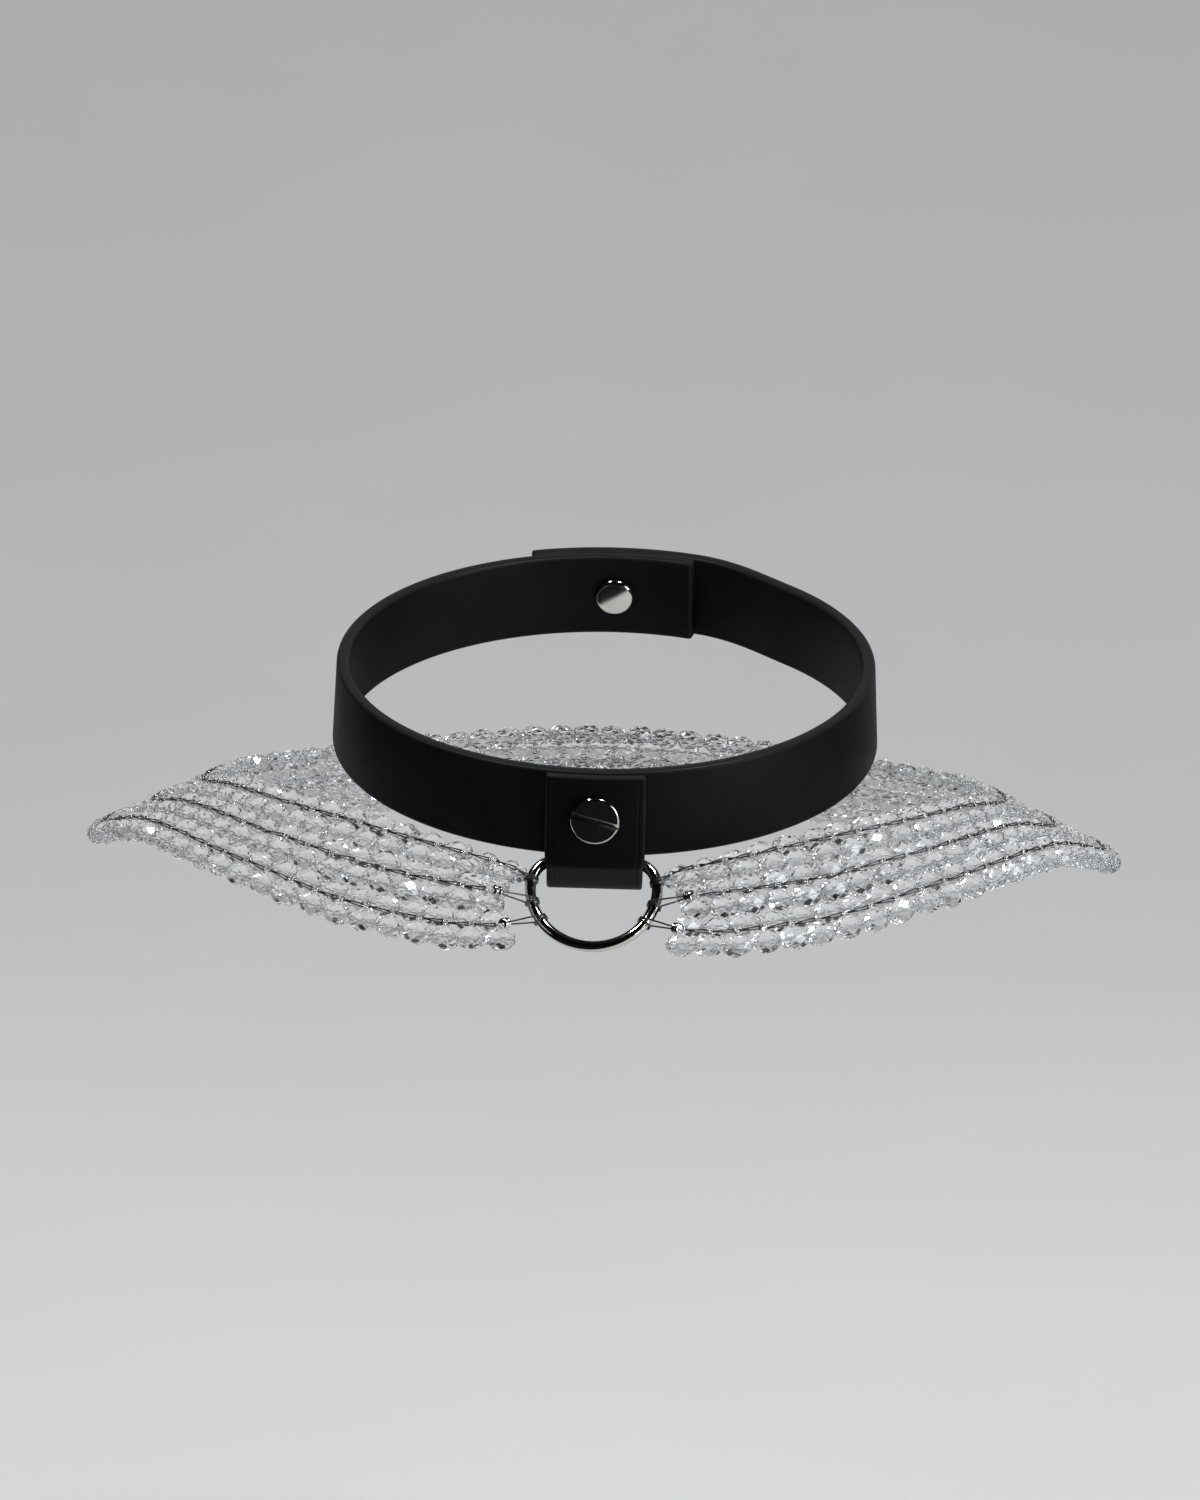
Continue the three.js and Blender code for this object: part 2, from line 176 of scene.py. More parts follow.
class Paint:
    """One material and the nodes that feed its surface."""

    def __init__(self, name, **fixed):
        self.material = bpy.data.materials.new(name)
        self.material.use_nodes = True
        self.tree = self.material.node_tree
        self.surface = self.tree.nodes["Principled BSDF"]
        for socket, value in fixed.items():
            self.surface.inputs[socket.replace("_", " ")].default_value = value

    def node(self, kind, settings=None, sockets=None, output=0):
        made = self.tree.nodes.new("ShaderNode" + kind)
        for key, value in (settings or {}).items():
            setattr(made, key, value)
        for key, value in (sockets or {}).items():
            self.feed(made.inputs[key], value)
        return Value(self, made.outputs[output])

    def feed(self, socket, value):
        if isinstance(value, Value):
            self.tree.links.new(value.socket, socket)
        else:
            socket.default_value = value

    def place(self):
        return self.node("TexCoord", output="Object")

    def grain(self, scale, detail=2.0, roughness=0.5):
        """Cloudy noise from 0 to 1, with scale in lumps per metre."""
        sockets = {
            "Vector": self.place(),
            "Scale": scale,
            "Detail": detail,
            "Roughness": roughness,
        }
        return self.node("TexNoise", None, sockets)

    def blend(self, share, first, second):
        """A colour between two, by share."""
        sockets = {"Factor": share, 6: first, 7: second}
        return self.node("Mix", {"data_type": "RGBA"}, sockets, output=2)

    def bump(self, height, depth, strength=1.0, after=None):
        sockets = {"Height": height, "Distance": depth, "Strength": strength}
        if after:
            sockets["Normal"] = after
        return self.node("Bump", None, sockets)

    def wear(self, **surface):
        """Links what changes over the surface."""
        for socket, value in surface.items():
            self.feed(self.surface.inputs[socket.replace("_", " ")], value)
        return self.material


# %% [markdown]
# ## Leather
#
# Bridle leather is dyed through and waxed: nearly black, with a satin shine, a fine pebble grain
# and faint creases. Its cut edges are bevelled and burnished, so they are smoother and a little
# lighter. The grain could be an image, but a cell pattern with a little noise needs none, and
# its size can be given in millimetres. Where the edges are comes from the UV map, which holds
# the flat strip's own measure before it is bent.


# %% Make the leather
# from a cut edge: how far it is burnished, and where its crease is and how it fades
BURNISHED, CREASE_IN, CREASE_FADE = (0.25 * MM, 0.8 * MM), 1.5 * MM, (0.05 * MM, 0.35 * MM)
DYED, THIN_DYED = (0.0027, 0.0028, 0.0033, 1), (0.0058, 0.0061, 0.007, 1)
# the lighter colour of burnished edges and of the tab's fold band; on the fold it is partly real
# pull-up and partly a painted reflection of the pale floor below
WORN_AND_SHEEN = (0.0175, 0.0173, 0.0168, 1)


def leather(name, width, length, crease=0.0, fold=(-1, -1), dark=0.0):
    """Leather for a strip of this width and length.

    The crease is the depth of the line along its edges, and the fold is where its skin is pulled
    and painted lighter: partly the real pull-up of stretched leather, partly a painted reflection
    of the pale floor below. Dark, from 0 to 1, is how much more dye it took.
    """
    paint = Paint(name, IOR=1.4, Specular_IOR_Level=0.12, Coat_IOR=1.25, Coat_Roughness=0.34)
    flat = {"Vector": paint.node("UVMap", {"uv_map": "cut"})}
    along = paint.node("SeparateXYZ", sockets=flat, output="X")
    across = paint.node("SeparateXYZ", sockets=flat, output="Y")
    to_side = width / 2 - across.size()
    to_edge = to_side.least(along).least(length - along)
    burnished = 1 - to_edge.between(*BURNISHED)
    pressed = 1 - (to_edge - CREASE_IN).size().between(*CREASE_FADE)
    # painted reflection: the band round the tab's fold is painted lighter, partly as the pull-up of
    # stretched leather and partly for the pale floor it faces
    pull_and_sheen = along.between(fold[0], fold[0] + MM) * (1 - along.between(fold[1], fold[1] + MM))

    pebbles = {"Vector": paint.place(), "Scale": 1500}
    cells = paint.node("TexVoronoi", {"feature": "SMOOTH_F1"}, pebbles)
    pores = paint.grain(5200, 3.0)
    tone = paint.grain(90, 3.0)
    streaks = paint.grain(420, 4.0, 0.6)
    body = paint.blend(tone * (1 - dark), DYED, THIN_DYED)
    # burnished edges are really lighter; the fold band adds a painted reflection to its pull-up
    worn_and_sheen = burnished * 0.4 + pull_and_sheen * (0.7 + 0.3 * streaks)
    colour = paint.blend(worn_and_sheen.least(1), body, WORN_AND_SHEEN)
    shine = 0.44 + 0.12 * tone + 0.08 * streaks - 0.10 * burnished
    grain = paint.bump(cells * 0.6 + pores * 0.4, 0.05 * MM, 0.55)
    creased = paint.bump((1 - pressed) + 0.6 * pull_and_sheen, crease, 1.0, grain)
    return paint.wear(
        Base_Color=colour, Roughness=shine, Coat_Weight=0.05 + 0.15 * burnished, Normal=creased
    )


# %% [markdown]
# ## Metal
#
# The ring, screw and stud are polished nickel, which is a warm grey. The chain's long links are
# painted dark, a painted shade for the groove they lie in, the small rings between them and the
# crimps are bright silver, and the ties are silver painted dark as painted shade. All four are the
# same recipe: a metal whose roughness is broken by faint smears and whose surface is not quite
# flat.


# %% Make the metals
def metal(name, colour, dull, roughness, smear):
    """Bare metal: its clean colour, the colour of its duller patches, and how polished it is."""
    paint = Paint(name, Metallic=1.0)
    smears = paint.grain(260, 4.0, 0.6)
    fine = paint.grain(3500, 2.0)
    return paint.wear(
        Base_Color=paint.blend(smears * 0.6, colour, dull),
        Roughness=roughness + smear * smears,
        Normal=paint.bump(fine, 0.006 * MM, 0.4),
    )


nickel = metal("polished_nickel", (0.66, 0.64, 0.60, 1), (0.50, 0.48, 0.45, 1), 0.04, 0.08)
silver = metal("bright_silver", (0.72, 0.71, 0.70, 1), (0.55, 0.54, 0.53, 1), 0.12, 0.12)
# painted shade: the tie wire is silver painted dark, as the ties look dark in shade
painted_shade_ties = metal("tie_silver_painted_shade", (0.17, 0.168, 0.162, 1), (0.09, 0.088, 0.084, 1), 0.3, 0.15)
# painted shade: the long links are painted dark, as the chain looks in the groove between the rows
gunmetal = metal("gunmetal", (0.085, 0.085, 0.09, 1), (0.05, 0.05, 0.053, 1), 0.22, 0.14)
print("metals", [finish.name for finish in (nickel, silver, painted_shade_ties, gunmetal)])

# %% [markdown]
# ## Crystal
#
# A cut bead is clear glass. What is seen in it is the room, bent and mirrored by its facets, so
# the material itself is simple: full transmission, the bending strength of cut glass, and only
# a trace of tint and of handling marks. The thread inside is clear nylon.


# %% Make the crystal and the thread
def crystal():
    paint = Paint("clear_crystal", IOR=1.53, Transmission_Weight=1.0)
    marks = paint.grain(700, 3.0)
    return paint.wear(
        Base_Color=paint.blend(marks, (0.985, 0.99, 0.995, 1), (0.955, 0.962, 0.97, 1)),
        Roughness=0.004 + 0.03 * marks,
    )


def nylon():
    paint = Paint("clear_nylon", IOR=1.5, Transmission_Weight=0.35)
    twist = paint.grain(1800, 2.0)
    return paint.wear(
        Base_Color=paint.blend(twist, (0.84, 0.85, 0.86, 1), (0.70, 0.71, 0.72, 1)),
        Roughness=0.28 + 0.14 * twist,
        Normal=paint.bump(twist, 0.03 * MM),
    )


crystal_finish = crystal()
nylon_finish = nylon()
print("clear", crystal_finish.name, nylon_finish.name)

# %% [markdown]
# ## Working by hand
#
# The pieces are modelled as a person would: add a primitive, enter edit mode, choose some edges
# or faces, run an operator, leave edit mode and apply the modifiers. These helpers are the moves
# that come back. `pick` selects whole pieces, and `choose` selects by a test on each vertex, edge
# or face, since there is no mouse. `settle` ends a piece: it bakes its place into its mesh,
# shades it and rides it on the frame.


# %% The moves that come back
NEAR = 0.01 * MM


def pick(*pieces):
    """Selects these pieces and nothing else, and makes the first of them active."""
    bpy.ops.object.select_all(action="DESELECT")
    for piece in pieces:
        piece.select_set(True)
    if pieces:
        bpy.context.view_layer.objects.active = pieces[0]


def edit(piece):
    pick(piece)
    bpy.ops.object.mode_set(mode="EDIT")
    bpy.ops.mesh.select_all(action="SELECT")


def leave():
    bpy.ops.object.mode_set(mode="OBJECT")


def middle(part):
    """The middle of a vertex, an edge or a face."""
    corners = [part] if isinstance(part, bmesh.types.BMVert) else part.verts
    return sum((corner.co for corner in corners), Vector()) / len(corners)


def choose(kind, test):
    """In edit mode, selects every vertex, edge or face that passes the test."""
    bpy.ops.mesh.select_mode(type=kind)
    bpy.ops.mesh.select_all(action="DESELECT")
    shape = bmesh.from_edit_mesh(bpy.context.edit_object.data)
    for part in {"VERT": shape.verts, "EDGE": shape.edges, "FACE": shape.faces}[kind]:
        if test(part):
            part.select_set(True)
    shape.select_flush_mode()
    bmesh.update_edit_mesh(bpy.context.edit_object.data)


def modify(piece, kind, **settings):
    """Adds a modifier and applies it."""
    pick(piece)
    modifier = piece.modifiers.new(kind.lower(), kind)
    for key, value in settings.items():
        setattr(modifier, key, value)
    bpy.ops.object.modifier_apply(modifier=modifier.name)


def settle(piece, name, finish, stands_for=(), at=Matrix(), smooth=None):
    """Ends a piece: its name, place, shading, material and ride."""
    pick(piece)
    piece.name = piece.data.name = name
    piece.matrix_world = at @ piece.matrix_world
    bpy.ops.object.transform_apply(location=True, rotation=True, scale=True)
    if smooth:
        bpy.ops.object.shade_smooth_by_angle(angle=math.radians(smooth))
    piece.data.materials.clear()
    piece.data.materials.append(finish)
    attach(piece, "root")
    if stands_for:
        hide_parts(*stands_for)
    size = [round(x / MM, 1) for x in piece.dimensions]
    print(name, "measures", size, "mm, with", len(piece.data.polygons), "faces")


# %% [markdown]
# ## The strap
#
# The real strap is cut flat from a 3 mm hide, bevelled along its edges, and bent round until its
# ends lap. The same order works here. A block is bevelled and divided along its length, its flat
# measure is kept as a UV map, and a Curve modifier wraps it round a path. Spinning a section
# would be quicker, but it could not lap the ends over each other.

# %% Measures of the strap
GAP = 0.3 * MM
LEAN = math.radians(14)
FLARE = math.radians(3)
STRAP = {"radius": 60.1 * MM, "height": 20 * MM, "thickness": 3 * MM, "edge": 0.75 * MM}
# how far the ends lap, and the turn in which the outer one climbs over the inner one
LAP = math.radians(36)
RISE = math.radians(25)


def smooth_step(value, low, high):
    share = min(1.0, max(0.0, (value - low) / (high - low)))
    return share * share * (3 - 2 * share)


def strap_path(count=240):
    """Points on the middle of the strap, whose last stretch climbs on to the first."""
    end = math.pi + LAP / 2
    points = []
    for i in range(count + 1):
        turn = -end + 2 * end * i / count
        climb = smooth_step(turn, math.pi - LAP / 2 - RISE, math.pi - LAP / 2)
        radius = STRAP["radius"] + (STRAP["thickness"] + GAP) * climb
        points.append((radius * math.sin(turn), -radius * math.cos(turn), 0.0))
    return points


def length_of(points):
    return sum(math.dist(a, b) for a, b in zip(points, points[1:]))


# %% Cut a strip, keep its flat measure and wrap it
def path(points, closed=False):
    """A curve through points, to wrap a strip round or to give a wire."""
    curve = bpy.data.curves.new("path", "CURVE")
    curve.dimensions = "3D"
    spline = curve.splines.new("POLY")
    spline.points.add(len(points) - 1)
    for knot, point in zip(spline.points, points):
        knot.co = (*point, 1)
    spline.use_cyclic_u = closed
    made = bpy.data.objects.new("path", curve)
    bpy.context.collection.objects.link(made)
    return made


def strip(length, thickness, width, edge, passes):
    """A flat bevelled strip along +X, with its measure as a UV map.

    Each pass cuts every stretch of its length by a number of cuts, so that it can bend.
    """
    pick()
    size = (length, thickness, width)
    bpy.ops.mesh.primitive_cube_add(size=1, location=(length / 2, 0, 0), scale=size)
    piece = bpy.context.object
    bpy.ops.object.transform_apply(location=True, rotation=True, scale=True)
    edit(piece)
    bpy.ops.mesh.bevel(offset=edge, segments=3, affect="EDGES")
    for cuts in passes:
        choose("EDGE", lambda part: abs(part.verts[0].co.x - part.verts[1].co.x) > 4 * edge)
        bpy.ops.mesh.subdivide(number_cuts=cuts)
    leave()
    flat = piece.data.uv_layers.new(name="cut")
    for loop, spot in zip(piece.data.loops, flat.data):
        corner = piece.data.vertices[loop.vertex_index].co
        spot.uv = (corner.x, corner.z)
    return piece


def wrap(piece, points):
    """Bends a strip along a path in the XY plane."""
    rail = path(points)
    rail.data.dimensions = "2D"
    modify(piece, "CURVE", object=rail, deform_axis="POS_X")
    bpy.data.objects.remove(rail)


strap_length = length_of(strap_path())
strap = strip(strap_length, STRAP["thickness"], STRAP["height"], STRAP["edge"], (15, 15))
edit(strap)
bpy.ops.transform.rotate(value=FLARE, orient_axis="X", center_override=(0, 0, 0))
leave()
wrap(strap, strap_path())
print("strap length", round(strap_length / MM, 1), "mm")

# %% [markdown]
# The strap leans forward with the neck. The front and the back of it are two work places: a
# matrix takes a piece that is modelled at the origin to the strap's middle there, tilted as the
# strap is. Holes for the screw and the stud are punched with a Boolean before anything else is
# put on.

# %% Punch the holes and settle the strap
NECKLINE = Matrix.Rotation(LEAN, 4, "X")
FRONT = NECKLINE @ Matrix.Translation((0, -STRAP["radius"], 0)) @ Matrix.Rotation(-FLARE, 4, "X")
BACK = NECKLINE @ Matrix.Translation((0, STRAP["radius"], 0)) @ Matrix.Rotation(FLARE, 4, "X")
ALONG_Y = Matrix.Rotation(math.radians(90), 4, "X")
HOLE = {"screw": 2.6 * MM, "stud": 2.4 * MM, "depth": 18 * MM}


def rod(radius, length, sides=32, at=Matrix()):
    """A cylinder along Y."""
    pick()
    bpy.ops.mesh.primitive_cylinder_add(vertices=sides, radius=radius, depth=length)
    made = bpy.context.object
    made.matrix_world = at @ ALONG_Y
    bpy.ops.object.transform_apply(location=True, rotation=True, scale=True)
    return made


def cut_away(piece, tool):
    modify(piece, "BOOLEAN", object=tool, operation="DIFFERENCE", solver="EXACT")
    bpy.data.objects.remove(tool)


cut_away(strap, rod(HOLE["screw"], HOLE["depth"], at=NECKLINE.inverted() @ FRONT))
cut_away(strap, rod(HOLE["stud"], HOLE["depth"], at=NECKLINE.inverted() @ BACK))
strap_leather = leather("strap_leather", STRAP["height"], strap_length)
settle(strap, "neck_strap", strap_leather, ["strap"], NECKLINE, smooth=35)

# %% [markdown]
# ## The tab
#
# The tab is a second strip, folded over the ring's bar with one leg in front of the strap and one
# behind it. It is cut flat and wrapped along a U in the same way. Then the legs have to follow
# the strap's curve while the fold stays straight, as the bar is. A Simple Deform bend does that,
# with a vertex group that fades out towards the fold.

# %% Fold the tab
TAB = {
    "width": 21 * MM,
    "thickness": 2 * MM,
    "edge": 0.55 * MM,
    "play": 0.45 * MM,
    "crease": 0.12 * MM,
    # how far above the fold the band starts that is painted lighter: partly real pull-up, partly a
    # painted reflection of the pale floor below
    "pull_and_sheen": 2.8 * MM,
}
TAB_INNER = STRAP["thickness"] / 2 + TAB["play"]
TAB_OUTER = TAB_INNER + TAB["thickness"]
TAB_TOP, TAB_BACK_TOP, FOLD = 9.7 * MM, 8 * MM, 14 * MM


def tab_path():
    """Down the front leg, round the fold and up the back leg, with +X down."""
    half = TAB_INNER + TAB["thickness"] / 2
    fold = [
        (FOLD + half * math.sin(turn), -half * math.cos(turn), 0.0)
        for turn in np.linspace(0, math.pi, 25)
    ]
    return [(-TAB_TOP, -half, 0.0), *fold, (-TAB_BACK_TOP, half, 0.0)]


tab_length = length_of(tab_path())
tab = strip(tab_length, TAB["thickness"], TAB["width"], TAB["edge"], (7, 7))
edit(tab)
choose("EDGE", lambda part: abs(part.verts[0].co.z - part.verts[1].co.z) > TAB["width"] / 2)
bpy.ops.mesh.subdivide(number_cuts=11)
leave()
wrap(tab, tab_path())
print("tab, flat", round(tab_length / MM, 1), "by", TAB["width"] / MM, "mm")

# %% Bend its legs to the strap
STRAIGHT_BELOW, BENT_ABOVE = -13 * MM, -9 * MM
tab.matrix_world = Matrix.Rotation(math.radians(90), 4, "Y")
pick(tab)
bpy.ops.object.transform_apply(location=True, rotation=True, scale=True)
legs = tab.vertex_groups.new(name="legs")
for corner in tab.data.vertices:
    share = smooth_step(corner.co.z, STRAIGHT_BELOW, BENT_ABOVE)
    legs.add([corner.index], share, "REPLACE")
bend = {"deform_method": "BEND", "deform_axis": "Z", "angle": TAB["width"] / STRAP["radius"]}
modify(tab, "SIMPLE_DEFORM", vertex_group="legs", **bend)
cut_away(tab, rod(HOLE["screw"], HOLE["depth"]))
# the band round the fold, painted lighter: partly the real pull-up of the stretched leather, partly
# a painted reflection of the pale floor below
tab_pull_and_sheen = (TAB_TOP + FOLD - TAB["pull_and_sheen"], tab_length - TAB_BACK_TOP - FOLD)
tab_finish = {"crease": TAB["crease"], "fold": tab_pull_and_sheen, "dark": 0.9}
tab_leather = leather("tab_leather", TAB["width"], tab_length, **tab_finish)
settle(tab, "folded_tab", tab_leather, ["tab"], FRONT, smooth=35)

# %% [markdown]
# ## The screw and its post
#
# A slotted screw goes through the tab into a post with a flat flange behind. The head starts as a
# cylinder. Its rim is bevelled so that it catches the light as a bright ring, and a box cuts the
# slot. The edges of the slot get a very small bevel, because no real edge is perfectly sharp.

# %% Turn the screw
SCREW = {
    "head": 5.45 * MM,
    "thick": 1.5 * MM,
    "rim": 0.55 * MM,
    "shank": 1.5 * MM,
    "shank_end": 2 * MM,
    "slot": 1.2 * MM,
    "slot_depth": 0.75 * MM,
    "slot_turn": math.radians(15),
    "edge": 0.07 * MM,
}


def bevel_ring(piece, radius, y, width, segments):
    """Bevels the round edge at a radius and a depth."""
    edit(piece)

    def on_ring(part):
        centre = middle(part)
        return abs(centre.y - y) < NEAR and math.hypot(centre.x, centre.z) > 0.97 * radius

    choose("EDGE", on_ring)
    bpy.ops.mesh.bevel(offset=width, segments=segments, affect="EDGES")
    leave()


def break_edges(piece, width, sharper_than):
    """Bevels every edge sharper than an angle, in degrees."""
    limit = math.radians(sharper_than)
    modify(piece, "BEVEL", width=width, segments=2, limit_method="ANGLE", angle_limit=limit)


def rod_between(radius, start, end, sides):
    """A cylinder along Y from one depth to another."""
    return rod(radius, abs(end - start), sides, Matrix.Translation((0, (start + end) / 2, 0)))


def join(pieces):
    """Joins pieces into the first of them."""
    pick(*pieces)
    bpy.ops.object.join()
    return pieces[0]


head_seat = -TAB_OUTER - GAP
head_top = head_seat - SCREW["thick"]
screw = rod_between(SCREW["head"], head_seat, head_top, 72)
bevel_ring(screw, SCREW["head"], head_top, SCREW["rim"], 4)
pick()
slot_size = (4 * SCREW["head"], 2 * SCREW["slot_depth"], SCREW["slot"])
bpy.ops.mesh.primitive_cube_add(size=1, location=(0, head_top, 0), scale=slot_size)
slot_cutter = bpy.context.object
slot_cutter.rotation_euler.y = SCREW["slot_turn"]
cut_away(screw, slot_cutter)
break_edges(screw, SCREW["edge"], 40)
shank = rod_between(SCREW["shank"], head_seat, SCREW["shank_end"], 24)
settle(join([screw, shank]), "slotted_screw", nickel, ["screw"], FRONT, smooth=30)

# %% Turn the post and the stud
PLAY = 0.5 * MM
POST = {"flange": 4.5 * MM, "thick": 1 * MM, "rim": 0.45 * MM, "barrel": 2.3 * MM}
STUD = {"shank": 2 * MM, "cap": 4.5 * MM, "thick": 1.2 * MM, "dome": 1 * MM}
post_seat = TAB_OUTER + PLAY
post_face = post_seat + POST["thick"]
flange = rod_between(POST["flange"], post_seat, post_face, 48)
bevel_ring(flange, POST["flange"], post_face, POST["rim"], 4)
barrel = rod_between(POST["barrel"], GAP - TAB_OUTER, post_seat, 32)
settle(join([flange, barrel]), "post_flange", nickel, ["screw_post"], FRONT, smooth=30)

stud_inner = -STRAP["thickness"] / 2 - PLAY
stud_outer = 1.5 * STRAP["thickness"] + GAP + PLAY
stud = [rod_between(STUD["shank"], stud_inner, stud_outer, 24)]
for seat, way in ((stud_inner, -1), (stud_outer, 1)):
    face = seat + way * STUD["thick"]
    cap = rod_between(STUD["cap"], seat, face, 48)
    bevel_ring(cap, STUD["cap"], face, STUD["dome"], 6)
    stud.append(cap)
settle(join(stud), "back_stud", nickel, ["closing_stud"], BACK, smooth=30)

# %% [markdown]
# ## The ring
#
# A D-ring is round wire bent to a straight bar, two tight shoulders and a half-round bow. A mesh
# circle could be stretched into a D, but the wire would not stay round. So the outline is laid
# out as a path, and the path is given a round section.

# %% Bend the ring
RING = {"wire": 1.25 * MM, "bow": 13.95 * MM, "bar": 9 * MM, "shoulder": 6.05 * MM}
RING_LEAN = math.radians(35)
BAR_DROP = 12 * MM
BAR = FRONT @ Vector((0, 0, -BAR_DROP))


def wire(points, radius, closed=False, rounds=2):
    """Round wire along points, as a mesh. Its section has 4 sides more for each round."""
    made = path(points, closed)
    made.data.bevel_depth = radius
    made.data.bevel_resolution = rounds
    made.data.use_fill_caps = not closed
    pick(made)
    bpy.ops.object.convert(target="MESH")
    return bpy.context.object


def ring_outline():
    """The D in its own plane, from one end of the bar round the bow to the other."""
    half, wide, tall = RING["bar"], RING["bow"] - RING["bar"], RING["shoulder"]
    quarter = np.linspace(math.pi / 2, 0, 15)
    right = [(half + wide * math.cos(t), 0, tall * math.sin(t) - tall) for t in quarter]
    bow = [
        (RING["bow"] * math.cos(t), 0, -tall - RING["bow"] * math.sin(t))
        for t in np.linspace(0, math.pi, 73)[1:-1]
    ]
    left = [(-x, y, z) for x, y, z in reversed(right)]
    return right + bow + left + [(x, 0, 0) for x in np.linspace(-half, half, 9)[1:-1]]


ring = wire(ring_outline(), RING["wire"], closed=True, rounds=5)
ring_place = Matrix.Translation(BAR) @ Matrix.Rotation(-RING_LEAN, 4, "X")
settle(ring, "bent_d_ring", nickel, ["d_ring"], ring_place, smooth=60)

# %% [markdown]
# ## Where the strands lie
#
# Three strands lie side by side round the base of the neck. A short table says, for a few
# directions round the neck, how far out and how high the middle strand is, how steep the
# shoulder is there, and how far apart the strands lie. A smooth curve through the rows gives
# every place between.

# %% The collar table
# azimuth, out, up, slope, space, inner slope, sink: degrees and millimetres
COLLAR = np.array(
    [
        (12, 65.2, -33.9, 28.3, 10.3, 0, 3.0),
        (25, 69.4, -31.8, 40, 10.5, 4, 2.7),
        (40, 75.4, -29.3, 39.5, 10.5, 25, 1.2),
        (55, 83.9, -25.7, 27.5, 10.3, 27.5, 0.0),
        (75, 94.7, -23.6, 20, 10.6, 20, 0.0),
        (90, 102.0, -28.3, 25, 12.6, 25, 0.0),
        (105, 100.2, -29.9, 28, 12.5, 28, 0.0),
        (125, 90.5, -32.5, 37, 12.0, 37, 0.0),
        (150, 79.5, -31.5, 43, 10.8, 43, 0.0),
        (180, 74.5, -30.5, 46, 10.4, 46, 0.0),
    ]
)
UP = np.array([0.0, 0.0, 1.0])


def collar(azimuth):
    """The table's values at an azimuth, on a smooth curve through its rows."""
    turn = min(abs(azimuth), 180.0)
    row = max(1, int(np.searchsorted(COLLAR[:, 0], turn)))
    before, after = COLLAR[row - 1], COLLAR[row]
    step = after[0] - before[0]
    share = (turn - before[0]) / step
    rise = after - before
    start, end = rise, 0.5 * rise
    if row > 1:
        earlier = COLLAR[row - 2]
        start = 0.5 * rise + 0.5 * step / (before[0] - earlier[0]) * (before - earlier)
    if row + 1 < len(COLLAR):
        later = COLLAR[row + 1]
        end = 0.5 * rise + 0.5 * step / (later[0] - after[0]) * (later - after)
    s2, s3 = share**2, share**3
    return (
        (2 * s3 - 3 * s2 + 1) * before
        + (s3 - 2 * s2 + share) * start
        + (3 * s2 - 2 * s3) * after
        + (s3 - s2) * end
    )


def bed(place, azimuth):
    """A strand's bed: its middle, the way across it and the way out from the body."""
    _, out, up, slope, space, inner_slope, sink = collar(azimuth)
    inner = place < 0
    tilt = math.radians(slope)
    own = math.radians(inner_slope if inner else slope)
    turn = math.radians(azimuth)
    outward = np.array([math.sin(turn), -math.cos(turn), 0.0])
    across = place * space
    low = across * math.sin(tilt) + (sink if inner else 0)
    centre = (outward * (out + across * math.cos(tilt)) + UP * (up - low)) * MM
    return (
        centre,
        outward * math.cos(own) - UP * math.sin(own),
        outward * math.sin(own) + UP * math.cos(own),
    )


def line(place, start, offset):
    """A line round the neck over a strand's bed: its points, and the way out at each.

    The offset gives how far across and over the bed the line lies at an azimuth.
    """
    turns = [turn if turn <= 180 else turn - 360 for turn in np.linspace(start, 360 - start, 361)]
    points, aways = [], []
    for turn in turns:
        centre, across, away = bed(place, turn)
        aside, lift = offset(turn)
        points.append(centre + aside * across + lift * away)
        aways.append(away)
    return np.array(points), np.array(aways)


# %% [markdown]
# ## Repeating a small shape
#
# Beads and links are modelled once and repeated hundreds of times. `stops` gives even places
# along a line, each as a matrix whose X runs along the line and whose Z points away from the
# body. `stamp` writes a copy of the small shape at each of them into one mesh. An array modifier
# could space them, but it could not turn each one by its own amount.


# %% Stops and stamps
def stops(points, aways, pitch):
    """Even stops along a line, as matrices."""
    measured = np.concatenate([[0], np.cumsum(np.linalg.norm(np.diff(points, axis=0), axis=1))])
    count = round(measured[-1] / pitch)
    step = measured[-1] / count

    def at(distance, values):
        return np.array([np.interp(distance, measured, column) for column in values.T])

    places = []
    for i in range(count):
        here = (i + 0.5) * step
        along = at(here + step / 2, points) - at(here - step / 2, points)
        along = Vector(along).normalized()
        side = Vector(at(here, aways)).cross(along).normalized()
        turn = Matrix((along, side, along.cross(side))).transposed().to_4x4()
        places.append(Matrix.Translation(at(here, points)) @ turn)
    return places


def stamp(name, small, places):
    """One mesh with a copy of the small shape at each place."""
    corners = np.array([[*corner.co, 1.0] for corner in small.data.vertices])
    faces = [list(face.vertices) for face in small.data.polygons]
    points = np.concatenate([corners @ np.array(place).T for place in places])[:, :3]
    copies = [
        [corner + i * len(corners) for corner in face] for i in range(len(places)) for face in faces
    ]
    mesh = bpy.data.meshes.new(name)
    mesh.from_pydata(points.tolist(), [], copies)
    made = bpy.data.objects.new(name, mesh)
    bpy.context.collection.objects.link(made)
    return made


# %% [markdown]
# ## The bead
#
# Each bead is glass, ground with flat facets: three bands of seven on each side of its widest
# part, each turned by half a facet against the last, and a small flat end. It is ground here too:
# a block is cut with one plane for each facet, and each cut is filled. That gives true flat faces
# and only forty-four of them, which matters when there are hundreds of beads.

# %% Grind one bead
BEAD = {"radius": 2.6 * MM, "half_length": 3.1 * MM, "pitch": 6.3 * MM}
# the cut, on a stone of radius 1: the tilt of each band in degrees, and the depth of the end
CUT = {"bands": (14, 39, 62), "facets": 7, "end": 0.9}


